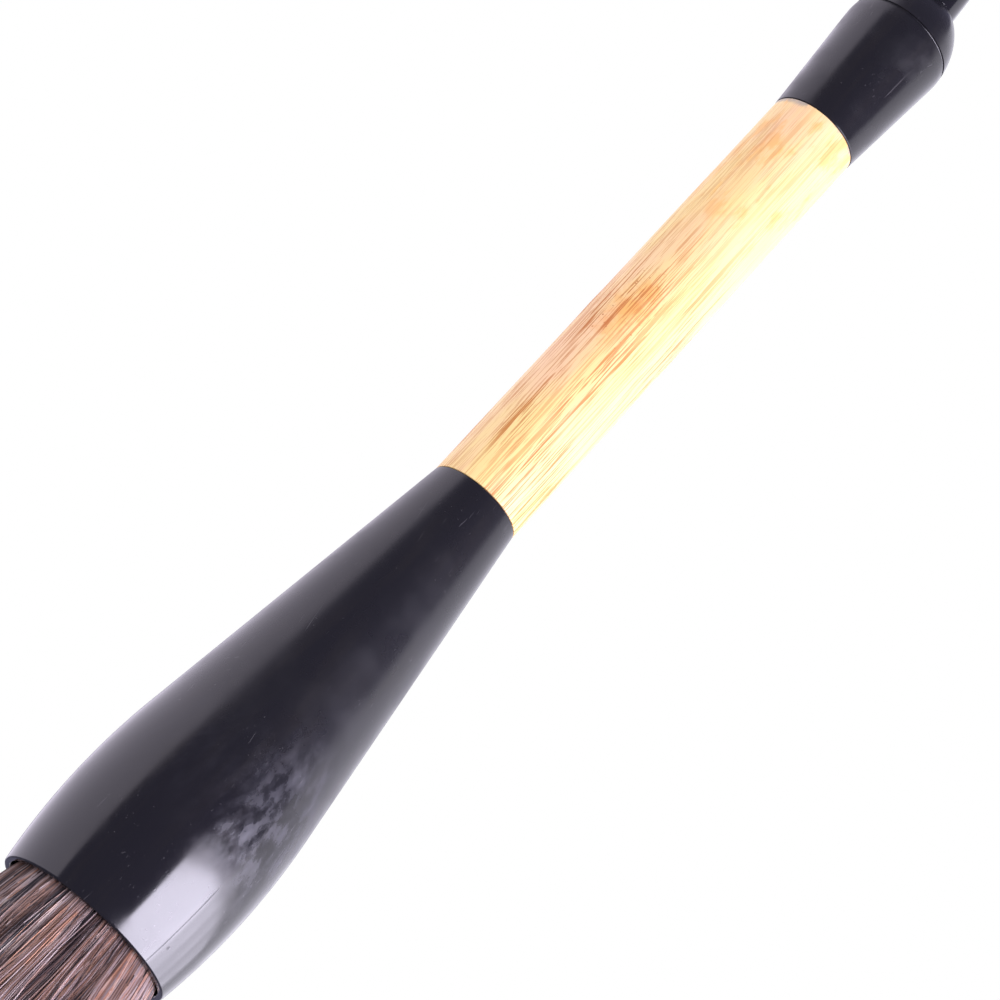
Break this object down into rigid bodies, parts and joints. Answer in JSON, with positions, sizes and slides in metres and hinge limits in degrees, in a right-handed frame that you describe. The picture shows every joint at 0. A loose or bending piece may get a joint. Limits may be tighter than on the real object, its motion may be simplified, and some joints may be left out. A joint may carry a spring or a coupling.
{
  "type": "calligraphy brush",
  "caption": "Large hanging calligraphy brush: bamboo handle, turned black horn cap and flared ferrule, and a soft hair tuft that bends in a chain of sprung, coupled hinges.",
  "frame": {"origin": "centre of the hanging eye drilled across the ball of the finial", "axes": "+Z along the brush, from the tip of the tuft up to the eye; Y along the eye's hole and the axis about which the tuft bends; X completes the set"},
  "size_m": [0.027, 0.027, 0.2602],
  "materials": {
    "black_horn": "polished black horn with fine scratches",
    "bamboo": "peeled bamboo with a thin satin varnish",
    "dowel_wood": "plain sanded wood",
    "resin": "clear amber resin",
    "knot_hair": "hair roots fused with resin",
    "thread": "twisted linen thread",
    "core_hair": "stiff dark animal hair",
    "mantle_hair": "mixed grey-brown animal hair"
  },
  "bodies": {
    "brush_handle": {"finial": "black_horn", "end_cap": "black_horn", "cap_dowel": "dowel_wood", "bamboo_handle": "bamboo", "ferrule_dowel": "dowel_wood", "ferrule": "black_horn", "seat_resin": "resin", "root_knot": "knot_hair", "root_thread": "thread", "base_core_hair": "core_hair", "base_mantle_hair": "mantle_hair"},
    "belly_hair": {"belly_core_hair": "core_hair", "belly_mantle_hair": "mantle_hair"},
    "waist_hair": {"waist_core_hair": "core_hair", "waist_mantle_hair": "mantle_hair"},
    "tip_hair": {"tip_core_hair": "core_hair", "tip_mantle_hair": "mantle_hair"}
  },
  "joints": [
    {"name": "belly_bend", "type": "hinge", "parent": "brush_handle", "child": "belly_hair", "pos_m": [0, 0, -0.1862], "axis": [0, 1, 0], "range_deg": [-20, 20], "stiffness_Nm_per_rad": 0.03},
    {"name": "waist_bend", "type": "hinge", "parent": "belly_hair", "child": "waist_hair", "pos_m": [0, 0, -0.2112], "axis": [0, 1, 0], "range_deg": [-26, 26], "stiffness_Nm_per_rad": 0.01},
    {"name": "tip_bend", "type": "hinge", "parent": "waist_hair", "child": "tip_hair", "pos_m": [0, 0, -0.231], "axis": [0, 1, 0], "range_deg": [-30, 30], "stiffness_Nm_per_rad": 0.004}
  ],
  "couplings": [
    {"joint": "waist_bend", "follows": "belly_bend", "ratio": 1.3},
    {"joint": "tip_bend", "follows": "belly_bend", "ratio": 1.5}
  ]
}
